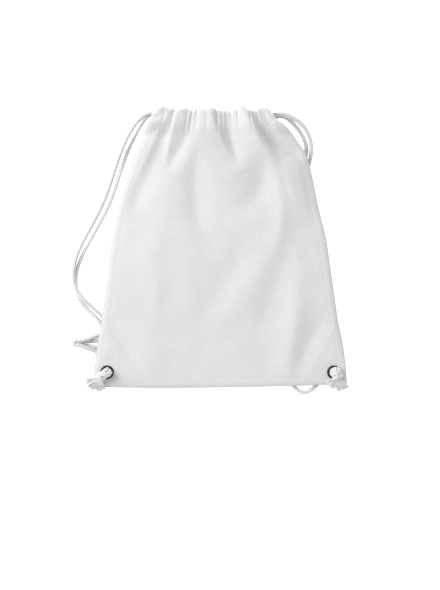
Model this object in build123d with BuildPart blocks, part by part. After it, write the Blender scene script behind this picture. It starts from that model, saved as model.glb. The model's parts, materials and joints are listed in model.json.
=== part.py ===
"""Drawstring backpack (gym sack) lying flat on its back, in millimetres.

Frame: +X to the bag's right as seen from its front, +Y from the bottom hem to the gathered mouth,
+Z up from the surface that the bag lies on. The origin is at the middle of the bag's base rectangle.
The bag is two cotton panels, sewn at the sides and the bottom, with a casing at the top of each.
Two cords run through both casings, leave at opposite ends, and are knotted through corner eyelets.
"""

import os
from math import radians, tan

from build123d import *

os.makedirs("parts", exist_ok=True)

# Driving dimensions
BAG_WIDTH = 370.0
BAG_HEIGHT = 408.0
PANEL_T = 1.5
LAYER_GAP = 0.2
CORD_D = 6.5
CORD_R = CORD_D / 2
CORD_LIFT = 3.4  # centre of a cord that lies on the surface

BOTTOM_Y = -BAG_HEIGHT / 2
TOP_Y = BAG_HEIGHT / 2
HALF_W = BAG_WIDTH / 2

# The panels' side edges from the bottom corner to the casing: (half width, height along the bag)
SIDE_EDGE = ((HALF_W, BOTTOM_Y), (170, -83), (156, 20), (138, 90), (118, 145))
PANEL_TOP_Y = 167.0
PANEL_TOP_LEFT = -106.0
PANEL_TOP_RIGHT = 92.0

# The back panel: a flat resting area, with a raised brim that lies over the cords
REST_LEFT, REST_RIGHT = -90.0, 58.0
REST_BOTTOM_Y = -190.0
BRIM_Z = 8.6
BRIM_SLOPE_DEG = 54.0

# Inside layers over the brim, then the front panel
SEAM_Z = BRIM_Z + PANEL_T + LAYER_GAP
SEAM_T = 1.8
SEAM_W = 8.0
FRONT_EDGE_Z = SEAM_Z + SEAM_T + LAYER_GAP
# The front panel's crown above its side edges: (height along the bag, crown)
FRONT_CROWN = ((-150.0, 3.5), (-60.0, 6.5), (20.0, 9.0), (90.0, 12.5), (145.0, 16.5))
BOTTOM_CROWN = 0.5
TOP_CROWN = 18.5

# The mouth: one casing on each panel, hemmed at both ends
MOUTH_LEFT, MOUTH_RIGHT = -98.0, 78.0
HEM_L = 18.0
CASING_BOTTOM_Y = PANEL_TOP_Y + 0.3
CASING_WALL = 1.8
CASING_T = 13.5
TUNNEL_BOTTOM_Y = 181.0
BACK_CASING_Z = 0.0
FRONT_CASING_Z = 19.5
HEM_GAP = 0.3
EDGE_ROUND = 1.5

# The cord runs inside the casings
RUN_BACK_Z = BACK_CASING_Z + CASING_T / 2
RUN_FRONT_Z = FRONT_CASING_Z + CASING_T / 2
LEFT_CORD_Y = 195.4
RIGHT_CORD_Y = 187.0
TURN_R = (RUN_FRONT_Z - RUN_BACK_Z) / 2
TURN_INSET = 0.1
JOIN_GAP = 0.15  # between the faces where a run meets its strand
JOIN_INSET = 6.0  # that far inside the hem

# Corner eyelets
EYELET_X = 165.0
EYELET_Y = -182.0
EYELET_BORE_R = 6.5
EYELET_BARREL_R = 7.2
EYELET_FLANGE_R = 10.0
EYELET_FLANGE_T = 1.2
EYELET_TOP_Z = FRONT_EDGE_Z + PANEL_T + 0.75
PANEL_HOLE_R = 7.6
WASHER_Z = 7.2
WASHER_T = 1.2
WASHER_BORE_R = 7.4
FLANGE_ROUND = 0.5

# Corner reinforcement patches, legs along the bottom and the side
PATCH_LEG_BOTTOM = 60.0
PATCH_LEG_SIDE = 84.0
PATCH_T = 0.8
PATCH_INSET = 0.4

# Knots and frayed ends
STEM_R = 5.4
STEM_BOTTOM_Z = 0.3
STEM_GAP = 0.9
KNOT_Z = 22.2
TASSEL_ROOT_R = 3.2
TASSEL_DROP = 1.5


def side_points(side):
    """The panels' edge on one side, from the bottom corner to the casing."""
    top = PANEL_TOP_LEFT if side < 0 else PANEL_TOP_RIGHT
    return [(side * x, y) for x, y in SIDE_EDGE] + [(top, PANEL_TOP_Y)]


def save(part, name):
    """Labels a finished part and writes its STEP file."""
    part.label = name
    export_step(part, f"parts/{name}.step")


# ---- Panels ----

with BuildPart() as back_panel:
    with BuildSketch(Plane.XY.offset(BRIM_Z)):
        with BuildLine():
            Polyline(*side_points(-1), *reversed(side_points(1)), close=True)
        make_face()
    extrude(amount=PANEL_T)
    rest_size = (REST_RIGHT - REST_LEFT, PANEL_TOP_Y - REST_BOTTOM_Y)
    rest_middle = ((REST_LEFT + REST_RIGHT) / 2, (REST_BOTTOM_Y + PANEL_TOP_Y) / 2)
    with BuildSketch(Plane.XY):
        with Locations(rest_middle):
            Rectangle(*rest_size)
    extrude(amount=BRIM_Z + PANEL_T, taper=-BRIM_SLOPE_DEG)
    with BuildSketch(Plane.XY.offset(PANEL_T)):
        with Locations(rest_middle):
            Rectangle(rest_size[0] - PANEL_T, rest_size[1] - PANEL_T)
    extrude(amount=BRIM_Z + PANEL_T, taper=-BRIM_SLOPE_DEG, mode=Mode.SUBTRACT)
    # The tray ends at the casing, where the mouth is
    split(bisect_by=Plane.XZ.offset(-PANEL_TOP_Y), keep=Keep.TOP)
    with BuildSketch(Plane.XY.offset(BRIM_Z)):
        with Locations((-EYELET_X, EYELET_Y), (EYELET_X, EYELET_Y)):
            Circle(PANEL_HOLE_R)
    extrude(amount=PANEL_T, mode=Mode.SUBTRACT)
save(back_panel.part, "back_panel")

front_sections = [(SIDE_EDGE[0][1], -HALF_W, HALF_W, BOTTOM_CROWN)]
for section_y, crown in FRONT_CROWN:
    lower, upper = next(
        (a, b) for a, b in zip(SIDE_EDGE, SIDE_EDGE[1:]) if a[1] <= section_y <= b[1]
    )
    share = (section_y - lower[1]) / (upper[1] - lower[1])
    half = lower[0] + share * (upper[0] - lower[0])
    front_sections.append((section_y, -half, half, crown))
front_sections.append((PANEL_TOP_Y, PANEL_TOP_LEFT, PANEL_TOP_RIGHT, TOP_CROWN))

with BuildPart() as front_panel:
    for section_y, left, right, crown in front_sections:
        middle = (left + right) / 2
        with BuildSketch(Plane.XZ.offset(-section_y)):
            with BuildLine():
                low = FRONT_EDGE_Z
                high = low + PANEL_T
                ThreePointArc((left, low), (middle, low + crown), (right, low))
                Line((right, low), (right, high))
                ThreePointArc((right, high), (middle, high + crown), (left, high))
                Line((left, high), (left, low))
            make_face()
    loft(ruled=True)
    with BuildSketch(Plane.XY.offset(FRONT_EDGE_Z)):
        with Locations((-EYELET_X, EYELET_Y), (EYELET_X, EYELET_Y)):
            Circle(PANEL_HOLE_R)
    extrude(amount=2 * PANEL_T, mode=Mode.SUBTRACT)
save(front_panel.part, "front_panel")

# ---- Seam allowances, overlocked and turned to the inside ----

for side, name in ((-1, "left_seam"), (1, "right_seam")):
    edge = side_points(side)
    inner_edge = [(x - side * SEAM_W, y) for x, y in edge]
    with BuildPart() as seam:
        with BuildSketch(Plane.XY.offset(SEAM_Z)):
            with BuildLine():
                Polyline(*edge, *reversed(inner_edge), close=True)
            make_face()
        extrude(amount=SEAM_T)
    save(seam.part, name)

edge_slope = (SIDE_EDGE[0][0] - SIDE_EDGE[1][0]) / (SIDE_EDGE[1][1] - SIDE_EDGE[0][1])
seam_end_x = HALF_W - SEAM_W - edge_slope * SEAM_W - PATCH_INSET
with BuildPart() as bottom_seam:
    with BuildSketch(Plane.XY.offset(SEAM_Z)):
        with Locations((0, BOTTOM_Y + SEAM_W / 2)):
            Rectangle(2 * seam_end_x, SEAM_W)
    extrude(amount=SEAM_T)
save(bottom_seam.part, "bottom_seam")

# ---- Corner patches, one inside each panel at each bottom corner ----

patch_low_y = BOTTOM_Y + SEAM_W + PATCH_INSET
patch_corner_x = seam_end_x - edge_slope * PATCH_INSET
patch_top_x = patch_corner_x - edge_slope * PATCH_LEG_SIDE
for side, side_name in ((-1, "left"), (1, "right")):
    for layer_z, layer_name in (
        (SEAM_Z, "back"),
        (SEAM_Z + PATCH_T + LAYER_GAP, "front"),
    ):
        with BuildPart() as patch:
            with BuildSketch(Plane.XY.offset(layer_z)):
                with BuildLine():
                    Polyline(
                        (side * patch_corner_x, patch_low_y),
                        (side * (patch_corner_x - PATCH_LEG_BOTTOM), patch_low_y),
                        (side * patch_top_x, patch_low_y + PATCH_LEG_SIDE),
                        close=True,
                    )
                make_face()
                with Locations((side * EYELET_X, EYELET_Y)):
                    Circle(PANEL_HOLE_R, mode=Mode.SUBTRACT)
            extrude(amount=PATCH_T)
        save(patch.part, f"{side_name}_{layer_name}_corner_patch")

# ---- Eyelets: a barrel with a flange, and the washer that it is set against ----

for side, side_name in ((-1, "left"), (1, "right")):
    centre = (side * EYELET_X, EYELET_Y)
    with BuildPart() as eyelet:
        with BuildSketch(Plane.XY.offset(EYELET_TOP_Z)):
            with Locations(centre):
                Circle(EYELET_FLANGE_R)
        extrude(amount=EYELET_FLANGE_T)
        fillet(eyelet.edges().group_by(Axis.Z)[-1], radius=FLANGE_ROUND)
        with BuildSketch(Plane.XY.offset(WASHER_Z + 0.4)):
            with Locations(centre):
                Circle(EYELET_BARREL_R)
        extrude(amount=EYELET_TOP_Z - WASHER_Z - 0.4)
        with BuildSketch(Plane.XY.offset(WASHER_Z)):
            with Locations(centre):
                Circle(EYELET_BORE_R)
        extrude(amount=BRIM_Z * 2, mode=Mode.SUBTRACT)
    save(eyelet.part, f"{side_name}_eyelet")
    with BuildPart() as washer:
        with BuildSketch(Plane.XY.offset(WASHER_Z)):
            with Locations(centre):
                Circle(EYELET_FLANGE_R)
                Circle(WASHER_BORE_R, mode=Mode.SUBTRACT)
        extrude(amount=WASHER_T)
        fillet(washer.edges().group_by(Axis.Z)[0].sort_by(SortBy.LENGTH)[-1], radius=FLANGE_ROUND)
    save(washer.part, f"{side_name}_eyelet_washer")

# ---- Casings and their hemmed ends ----


def casing_piece(x_from, x_to, base_z, open_side):
    """A length of casing with its cord tunnel. open_side +1 or -1 opens the top or bottom wall."""
    middle_y = (CASING_BOTTOM_Y + TOP_Y) / 2
    tunnel_top_y = TOP_Y - CASING_WALL
    with BuildPart() as piece:
        with BuildSketch(Plane.YZ.offset(x_from)):
            with Locations((middle_y, base_z + CASING_T / 2)):
                RectangleRounded(TOP_Y - CASING_BOTTOM_Y, CASING_T, EDGE_ROUND)
            with Locations(((TUNNEL_BOTTOM_Y + tunnel_top_y) / 2, base_z + CASING_T / 2)):
                Rectangle(
                    tunnel_top_y - TUNNEL_BOTTOM_Y,
                    CASING_T - 2 * CASING_WALL,
                    mode=Mode.SUBTRACT,
                )
            if open_side:
                wall_z = base_z + CASING_T / 2 + open_side * CASING_T / 2
                with Locations(((TUNNEL_BOTTOM_Y + tunnel_top_y) / 2, wall_z)):
                    Rectangle(
                        tunnel_top_y - TUNNEL_BOTTOM_Y, 4 * CASING_WALL, mode=Mode.SUBTRACT
                    )
        extrude(amount=x_to - x_from)
    return piece.part


for base_z, casing_name, mouth_side in (
    (BACK_CASING_Z, "back", 1),
    (FRONT_CASING_Z, "front", -1),
):
    save(
        casing_piece(MOUTH_LEFT + HEM_L + HEM_GAP, MOUTH_RIGHT - HEM_L - HEM_GAP, base_z, 0),
        f"{casing_name}_casing",
    )
    save(
        casing_piece(MOUTH_LEFT, MOUTH_LEFT + HEM_L, base_z, mouth_side),
        f"left_{casing_name}_casing_hem",
    )
    save(
        casing_piece(MOUTH_RIGHT - HEM_L, MOUTH_RIGHT, base_z, mouth_side),
        f"right_{casing_name}_casing_hem",
    )

# ---- Cords ----


def cord_along(path, start, direction):
    """A round cord swept along a path of straight runs and tangent arcs."""
    with BuildPart() as cord:
        with BuildSketch(Plane(origin=start, z_dir=direction)):
            Circle(CORD_R)
        sweep(path=path)
    return cord.part


def cord_run(exit_x, turn_x, run_y):
    """The U-shaped length of one cord in both casings, out at exit_x and turned at turn_x."""
    way = 1 if turn_x > exit_x else -1
    arc_x = turn_x - way * (TURN_R + CORD_R + TURN_INSET)
    with BuildLine() as path:
        Line((exit_x, run_y, RUN_FRONT_Z), (arc_x, run_y, RUN_FRONT_Z))
        ThreePointArc(
            (arc_x, run_y, RUN_FRONT_Z),
            (arc_x + way * TURN_R, run_y, (RUN_FRONT_Z + RUN_BACK_Z) / 2),
            (arc_x, run_y, RUN_BACK_Z),
        )
        Line((arc_x, run_y, RUN_BACK_Z), (exit_x, run_y, RUN_BACK_Z))
    return cord_along(path.wire(), (exit_x, run_y, RUN_FRONT_Z), (way, 0, 0))


LEFT_EXIT_X = MOUTH_LEFT + JOIN_INSET
RIGHT_EXIT_X = MOUTH_RIGHT - JOIN_INSET
save(cord_run(LEFT_EXIT_X, MOUTH_RIGHT, LEFT_CORD_Y), "left_cord_run")
save(cord_run(RIGHT_EXIT_X, MOUTH_LEFT, RIGHT_CORD_Y), "right_cord_run")

# The free strands' routes, from the casing to the knot's stem under the eyelet
STRAND_END_Y = EYELET_Y + STEM_R + STEM_GAP
RIGHT_END_X = EYELET_X - STEM_R - 2 * STEM_GAP
LEFT_START_X = LEFT_EXIT_X - JOIN_GAP
RIGHT_START_X = RIGHT_EXIT_X + JOIN_GAP
STRAND_ROUTES = {
    "left_strand_front": [
        (LEFT_START_X, LEFT_CORD_Y, RUN_FRONT_Z),
        (-103, LEFT_CORD_Y, RUN_FRONT_Z),
        (-116, 187, 24),
        (-128, 173, 20),
        (-141, 150, 13),
        (-154, 115, 5.5),
        (-169, 69, CORD_LIFT),
        (-187, 34, CORD_LIFT),
        (-201, 9, 4.5),
        (-211, -14, 8.5),
        (-215.5, -38, 10.3),
        (-212.5, -60, 10.3),
        (-199.5, -76.5, 9),
        (-187, -88, 4.4),
        (-172, -101, CORD_LIFT),
        (-164, -116, CORD_LIFT),
        (-168.5, -131, CORD_LIFT),
        (-182, -138, CORD_LIFT),
        (-197, -139, CORD_LIFT),
        (-212, -135.5, CORD_LIFT),
        (-212, -147.5, CORD_LIFT),
        (-197, -149.5, CORD_LIFT),
        (-180, -150.5, CORD_LIFT),
        (-168, -153.5, CORD_LIFT),
        (-161.5, -163.5, CORD_LIFT),
        (-161.3, STRAND_END_Y, CORD_LIFT),
    ],
    "left_strand_back": [
        (LEFT_START_X, LEFT_CORD_Y, RUN_BACK_Z),
        (-103, LEFT_CORD_Y, RUN_BACK_Z),
        (-113, 185, 5.6),
        (-121, 171, 4.4),
        (-132.5, 148, CORD_LIFT),
        (-145.5, 113, CORD_LIFT),
        (-160.5, 66, CORD_LIFT),
        (-179, 31, CORD_LIFT),
        (-192.5, 7, CORD_LIFT),
        (-204, -16, CORD_LIFT),
        (-212, -39, CORD_LIFT),
        (-211.5, -61, CORD_LIFT),
        (-205, -80, CORD_LIFT),
        (-192, -93.5, CORD_LIFT),
        (-178.5, -105.5, CORD_LIFT),
        (-172, -117, CORD_LIFT),
        (-176.5, -127, CORD_LIFT),
        (-188.5, -131, 4.6),
        (-201.5, -135.5, 10.6),
        (-213.5, -135.5, 10.6),
        (-213.5, -148, 10.4),
        (-201, -152.5, 10),
        (-188.5, -157.5, 4.8),
        (-178.5, -159.5, CORD_LIFT),
        (-170.5, -166, CORD_LIFT),
        (-168.7, STRAND_END_Y, CORD_LIFT),
    ],
    "right_strand_front": [
        (RIGHT_START_X, RIGHT_CORD_Y, RUN_FRONT_Z),
        (84, RIGHT_CORD_Y, RUN_FRONT_Z),
        (95, 188, 25.2),
        (107, 184, 22),
        (119, 174, 17),
        (128, 159, 10.5),
        (131, 141, 5.4),
        (128, 120, CORD_LIFT),
        (116.5, 90, CORD_LIFT),
        (101, 58, CORD_LIFT),
        (91, 24, CORD_LIFT),
        (87, -12, CORD_LIFT),
        (89, -48, CORD_LIFT),
        (96, -84, CORD_LIFT),
        (103, -118, CORD_LIFT),
        (104.5, -147, CORD_LIFT),
        (104, -172, CORD_LIFT),
        (110, -189, CORD_LIFT),
        (122, -195.5, CORD_LIFT),
        (135, -191, CORD_LIFT),
        (146, -182.5, CORD_LIFT),
        (RIGHT_END_X, -178.2, CORD_LIFT),
    ],
    "right_strand_back": [
        (RIGHT_START_X, RIGHT_CORD_Y, RUN_BACK_Z),
        (84, RIGHT_CORD_Y, RUN_BACK_Z),
        (94, 184, 6),
        (105, 177.5, 4.8),
        (114, 168, CORD_LIFT),
        (121, 155, CORD_LIFT),
        (123.5, 139, CORD_LIFT),
        (120, 122, CORD_LIFT),
        (109, 93, CORD_LIFT),
        (93.5, 61, CORD_LIFT),
        (83.5, 25.5, CORD_LIFT),
        (79.5, -12, CORD_LIFT),
        (81.5, -49.5, CORD_LIFT),
        (88.5, -86, CORD_LIFT),
        (95.5, -119.5, CORD_LIFT),
        (97, -148.5, CORD_LIFT),
        (96, -175, CORD_LIFT),
        (101.5, -194, CORD_LIFT),
        (111, -207, CORD_LIFT),
        (122.5, -211.5, CORD_LIFT),
        (134, -207.5, CORD_LIFT),
        (143, -199, CORD_LIFT),
        (150, -192, CORD_LIFT),
        (RIGHT_END_X, -186.2, CORD_LIFT),
    ],
}
ARC_SHARE = 0.45  # of the shorter run beside a corner


def corner_radii(points):
    """The largest tangent arc that the two runs at each corner leave room for."""
    radii = []
    for before, corner, after in zip(points, points[1:], points[2:]):
        way_in = corner - before
        way_out = after - corner
        turn = way_in.get_angle(way_out)
        shorter = min(way_in.length, way_out.length)
        radii.append(ARC_SHARE * shorter / tan(radians(turn) / 2))
    return radii


for name, route in STRAND_ROUTES.items():
    points = [Vector(*place) for place in route]
    radii = corner_radii(points)
    with BuildLine() as strand_path:
        FilletPolyline(*points, radius=radii)
    strand = cord_along(strand_path.wire(), points[0], points[1] - points[0])
    length = strand_path.wire().length
    print(name, "length", round(length, 1), "radii", [round(r, 1) for r in radii])
    print("  volume share", round(strand.volume / (length * 3.14159265 * CORD_R**2), 4))
    save(strand, name)

# ---- Knots through the eyelets, and the frayed ends ----

# Share of the knot's length, and its radius there as a share of its width
KNOT_PROFILE = ((0, 0.3), (0.18, 0.46), (0.5, 0.5), (0.85, 0.43), (1, 0.3))


def knot(side, reach, width, length):
    """An overhand knot on top of an eyelet, with the doubled cord going down through it."""
    centre = Vector(side * EYELET_X, EYELET_Y, 0)
    along = Vector(*reach, 0).normalized()
    start = centre + Vector(0, 0, KNOT_Z) - along * (width * 0.45)
    across = along.cross(Vector(0, 0, 1))
    with BuildPart() as body:
        with BuildSketch(Plane.XY.offset(STEM_BOTTOM_Z)):
            with Locations((centre.X, centre.Y)):
                Circle(STEM_R)
        extrude(amount=KNOT_Z - STEM_BOTTOM_Z)
        for share, radius_share in KNOT_PROFILE:
            middle = start + along * (length * share)
            with BuildSketch(Plane(origin=middle, x_dir=across, z_dir=along)):
                Circle(width * radius_share)
        loft()
    return body.part, start + along * length, along


def tassel(root, direction, length, spread, thickness):
    """A frayed cord end: from a round root to a flat fan."""
    way = Vector(*direction).normalized()
    tip = root + way * length
    across = way.cross(Vector(0, 0, 1))
    with BuildPart() as fan:
        with BuildSketch(Plane(origin=root, x_dir=across, z_dir=way)):
            Ellipse(TASSEL_ROOT_R, TASSEL_ROOT_R * 0.9)
        with BuildSketch(Plane(origin=tip, x_dir=across, z_dir=way)):
            Ellipse(spread / 2, thickness / 2)
        loft()
    return fan.part


KNOTS = {
    # side, reach, width, length, then each tassel: (sideways, along the bag), length, spread
    "left": (-1, (-17, -10.5), 11.0, 26.0, ((-0.92, -0.38), 15.5, 14.0), ((-0.35, -0.94), 16.0, 13.0)),
    "right": (1, (8, -12), 12.5, 22.0, ((-0.3, -0.95), 15.5, 15.0), ((0.72, -0.7), 15.5, 14.0)),
}
TASSEL_T = 6.0
TASSEL_APART = 7.0
for side_name, (side, reach, width, length, *tassels) in KNOTS.items():
    knot_part, knot_end, along = knot(side, reach, width, length)
    save(knot_part, f"{side_name}_knot")
    across = along.cross(Vector(0, 0, 1))
    for (direction, tassel_l, spread), which, shift in zip(tassels, ("front", "back"), (1, -1)):
        way = Vector(*direction, -TASSEL_DROP / tassel_l).normalized()
        lean = 1 if across.dot(Vector(*direction, 0)) > 0 else -1
        root = knot_end + across * (lean * TASSEL_APART / 2) + way * 0.5
        save(tassel(root, way, tassel_l, spread, TASSEL_T), f"{side_name}_tassel_{which}")
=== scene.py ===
"""Looks for the drawstring backpack: gathered white cotton, braided cords, knots and black eyelets."""

import json
import math

import bpy
import numpy as np
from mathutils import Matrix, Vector

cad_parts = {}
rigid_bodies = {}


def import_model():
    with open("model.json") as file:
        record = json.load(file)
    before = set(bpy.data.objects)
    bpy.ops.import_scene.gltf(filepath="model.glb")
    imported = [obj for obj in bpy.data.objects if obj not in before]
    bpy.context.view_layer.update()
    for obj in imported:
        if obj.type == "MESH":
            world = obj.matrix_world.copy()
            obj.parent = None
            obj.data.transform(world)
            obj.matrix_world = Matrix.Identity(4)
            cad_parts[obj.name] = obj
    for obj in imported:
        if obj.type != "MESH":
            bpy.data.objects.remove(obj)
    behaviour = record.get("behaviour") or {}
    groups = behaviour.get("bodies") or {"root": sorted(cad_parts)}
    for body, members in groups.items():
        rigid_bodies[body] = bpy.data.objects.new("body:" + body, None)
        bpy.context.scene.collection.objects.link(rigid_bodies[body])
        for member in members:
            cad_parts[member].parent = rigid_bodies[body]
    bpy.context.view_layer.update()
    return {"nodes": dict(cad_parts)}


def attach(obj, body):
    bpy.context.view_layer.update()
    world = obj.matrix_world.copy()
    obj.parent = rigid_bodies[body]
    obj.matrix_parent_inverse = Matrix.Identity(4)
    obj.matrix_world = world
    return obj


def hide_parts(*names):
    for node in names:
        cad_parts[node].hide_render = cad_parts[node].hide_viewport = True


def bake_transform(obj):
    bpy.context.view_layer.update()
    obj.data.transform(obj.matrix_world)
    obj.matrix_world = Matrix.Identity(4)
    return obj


# ---- Shape functions. Lengths in this part are millimetres in the row frame ----
MM = 0.001

CENTRE_X = -10.0  # the mouth's middle, where the left and right halves of the cloth meet
STITCH_Y = 169.0  # the casing's stitch line
CLOTH_T = 0.5  # the cloth's thickness
FLOOR_GAP = 0.35  # between the back panel and the floor


def smooth(t):
    """0 up to t = 0, 1 from t = 1, and a soft step between them."""
    t = np.clip(t, 0.0, 1.0)
    return t * t * (3 - 2 * t)


def bell(t, sharpness):
    """1 at 0, falling to 0. Sharpness 2 is a rounded ridge, near 1 is a pinched one."""
    return np.exp(-np.abs(t) ** sharpness)


def curve(points, count=28):
    """A smooth line through listed points, sampled evenly in their own parameter."""
    p = np.array(points, float)
    p = np.vstack([2 * p[0] - p[1], p, 2 * p[-1] - p[-2]])
    out = []
    spans = len(p) - 3
    for k in range(count):
        u = k / (count - 1) * spans
        i = min(int(u), spans - 1)
        t = u - i
        a, b, c, d = p[i : i + 4]
        square, cube = 2 * a - 5 * b + 4 * c - d, 3 * b - a - 3 * c + d
        out.append(0.5 * (2 * b + (c - a) * t + square * t**2 + cube * t**3))
    return np.array(out)


def beside(line, x, y):
    """For each place: its distance from a sampled line (positive on the line's right-hand side as
    it is followed down the bag), and the share of the line at the nearest point."""
    best = np.full(np.shape(x), 1e9)
    signed = np.zeros(np.shape(x))
    share = np.zeros(np.shape(x))
    for i in range(len(line) - 1):
        ax, ay = line[i][:2]
        dx, dy = line[i + 1][:2] - line[i][:2]
        length2 = dx * dx + dy * dy
        t = np.clip(((x - ax) * dx + (y - ay) * dy) / length2, 0, 1)
        ox, oy = x - ax - t * dx, y - ay - t * dy
        d = np.hypot(ox, oy)
        nearer = d < best
        side = np.where(dx * (y - ay) - dy * (x - ax) > 0, 1.0, -1.0)
        best = np.where(nearer, d, best)
        signed = np.where(nearer, d * side, signed)
        share = np.where(nearer, (i + t) / (len(line) - 1), share)
    return signed, share


# The folds of the front panel. Each is a line down the bag, (x, y, height) with a negative height
# for a valley, then the fold's half width on its left and on its right, and its sharpness.
FOLDS = [
    # from the first lobe towards the left side: dark on the left, a bright ridge on the right
    ([(-63, 212, -0.6), (-68, 190, -2), (-78, 166, -3), (-92, 131, -3.4), (-107, 100, -3.2),
      (-119, 72, -2.8), (-125, 46, -1.2), (-128, 30, 0)], 12, 16, 1.7),
    ([(-74, 196, 0.3), (-79, 186, 1), (-89, 166, 1.3), (-98, 148, 1.3), (-110, 124, 1.1),
      (-121, 103, 0.7), (-130, 86, 0)], 11, 4, 1.5),
    # short creases of the hemmed end
    ([(-107, 167, 0), (-100, 168, -1.2), (-93, 171, -1.4), (-86, 176, 0)], 3.5, 3, 1.6),
    ([(-101, 187, 0), (-95, 187.5, -1.2), (-88, 189.5, -1.2), (-80, 193, 0)], 3, 3, 1.6),
    # the crisp line that ends in the first V, and the V's right arm
    ([(-62, 212, 0.6), (-66, 192, 1.8), (-71, 168, 2.5), (-76, 144, 2.5), (-79, 128, 1.4),
      (-79, 116, 0)], 4, 7, 1.3),
    ([(-36, 206, -1), (-40, 186, -2.6), (-49, 162, -4.2), (-61, 139, -4.8), (-71, 122, -3.2),
      (-78, 108, 0)], 14, 11, 1.5),
    # the long dark valley in the middle, with the broad bright lobe on its right
    ([(-26, 176, 0), (-29, 156, -2), (-33, 128, -4.6), (-36, 96, -5.6), (-36, 66, -5.4),
      (-31, 44, -4.4), (-23, 24, -3), (-13, 4, -1.6), (-5, -18, 0)], 17, 33, 1.6),
    # the middle V's left arm, with a wedge of tucks, and the bright diamond on its right
    ([(6, 212, -1.5), (11, 192, -4.4), (13, 168, -7.6), (17, 151, -8.2), (22, 137, -6.4),
      (27, 125, -3), (32, 114, 0)], 17, 13, 1.4),
    ([(-12, 206, 0.4), (-12, 188, 1.8), (-3, 166, 2.2), (8, 146, 1.6), (18, 128, 0)], 7, 5, 1.4),
    # curved valley under the middle: grey inside the curve, bright outside
    ([(54, 158, 0), (61, 138, -2.4), (63, 116, -4.8), (61, 96, -5.4), (54, 79, -5),
      (42, 68, -4), (22, 56, -2.4), (2, 44, -1.2), (-8, 34, 0)], 27, 25, 1.6),
    # strongest ridge, from the highest lobe towards the right side, and the dark valley beside it
    ([(27, 216, 0.4), (34, 200, 2.2), (46, 174, 5.6), (58, 152, 6.4), (70, 130, 5),
      (80, 105, 4.4), (87, 75, 4), (90, 45, 3.4), (86, 15, 2.4), (78, -14, 0)], 17, 15, 1.6),
    ([(36, 202, 0), (43, 186, 1.8), (55, 167, 3.6), (66, 151, 2.6), (76, 134, 1.2),
      (84, 120, 0)], 10, 3, 1.3),
    ([(45, 206, -2), (52, 187, -5), (60, 171, -6.8), (70, 158, -7), (84, 149, -6.4),
      (98, 143, -5.2), (111, 136, -3.4), (123, 124, 0)], 7, 16, 1.4),
    # the shoulder on the right, dark below it
    ([(70, 178, 0), (80, 166, 2.6), (92, 156, 3.6), (106, 147, 3), (116, 138, 0)], 9, 8, 1.7),
    ([(62, 196, -1.5), (66, 186, -3.6), (72, 178, -3.6), (80, 170, -1.5), (86, 165, 0)], 4, 5, 1.4),
    ([(74, 181, 0), (78, 185, -1.6), (84, 188, 0)], 3, 3, 1.5),
    ([(92, 128, 0), (99, 112, 2.4), (105, 92, 3.4), (113, 62, 2.2), (120, 30, 0)], 12, 26, 1.8),
]
# The same, lower down and softer.
SOFT_FOLDS = [
    ([(-80, 62, 0), (-88, 34, 2.4), (-93, 0, 4.4), (-93, -50, 4.6), (-95, -90, 4),
      (-102, -125, 2.4), (-106, -170, 1.4), (-104, -210, 1)], 34, 14, 1.8),
    ([(-66, -96, 0), (-84, -130, 1.6), (-92, -165, 2.4), (-90, -212, 2)], 24, 14, 1.8),
    ([(-44, 20, 0), (-50, -10, 1.6), (-48, -45, 2.4), (-40, -85, 1.8), (-44, -125, 0)], 22, 20, 1.9),
    ([(13, 30, 0), (21, 8, -2.4), (25, -14, -4.6), (22, -33, -5), (10, -48, -4.4),
      (-5, -63, -3.8), (-17, -83, -3), (-25, -106, -1.6), (-32, -135, 0)], 24, 20, 1.6),
    ([(76, 30, 0), (74, 5, 2.4), (65, -18, 3.6), (50, -46, 4.2), (31, -76, 3.8), (12, -102, 2.4),
      (-4, -130, 0)], 20, 18, 1.8),
    ([(92, 26, 0), (95, -8, -2.4), (92, -40, -3.8), (79, -70, -4.2), (67, -96, -3.8),
      (64, -132, -3), (70, -172, -1.8), (76, -206, 0)], 18, 24, 1.8),
    ([(106, 8, 0), (112, -28, 4), (112, -78, 7), (107, -120, 8.4), (101, -160, 7.6),
      (99, -200, 3.4)], 20, 17, 1.7),
    # beside the corner patches
    ([(154, -88, 0), (143, -116, -3.6), (128, -144, -5), (113, -172, -3.4),
      (102, -192, 0)], 15, 10, 1.6),
    ([(-166, -100, 0), (-150, -128, -1.4), (-132, -156, -2), (-118, -182, 0)], 10, 12, 1.8),
]

# The panels' outline, (x, y): each side from its bottom corner to the mouth, and the bottom edge.
LEFT_EDGE = [(-186, -203), (-181, -153), (-173.5, -106), (-164, -36), (-158, 11), (-149, 57),
             (-135, 104), (-122, 139), (-107, 172), (-98, 198)]
RIGHT_EDGE = [(184.5, -201), (180, -153), (171, -106), (161, -36), (154, 11), (143, 57),
              (133.5, 104), (125, 134), (118.5, 144), (112, 153.5), (105, 163), (97, 172),
              (88.5, 179.5), (80.5, 186), (77.5, 192),
              (77.5, 199)]
BOTTOM_EDGE = [(-186, -203), (-150, -204.5), (-60, -205), (60, -203.5), (150, -201), (184.5, -201)]

# The mouth's lobes, from left to right: middle x, top y, half width.
LOBES = [(-88, 204.5, 9), (-74.5, 201, 6), (-56.5, 201.5, 9.5), (-44.5, 198.6, 3), (-37.7, 199.5, 3.4),
         (-26.5, 200.6, 8), (-13.5, 202, 8), (-1, 198.4, 3.5), (5, 198.2, 3.2), (11, 198.4, 3.2),
         (18.5, 199, 4.8), (32.5, 205, 8.5), (44.5, 199, 3), (49.7, 198.2, 2.6), (55, 198.6, 3),
         (66.5, 202.8, 10)]
TUCK_TOP = 196.8  # top of the tucks between the lobes

LEFT_LINE, RIGHT_LINE, BOTTOM_LINE = (curve(edge, 120) for edge in (LEFT_EDGE, RIGHT_EDGE, BOTTOM_EDGE))


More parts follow.
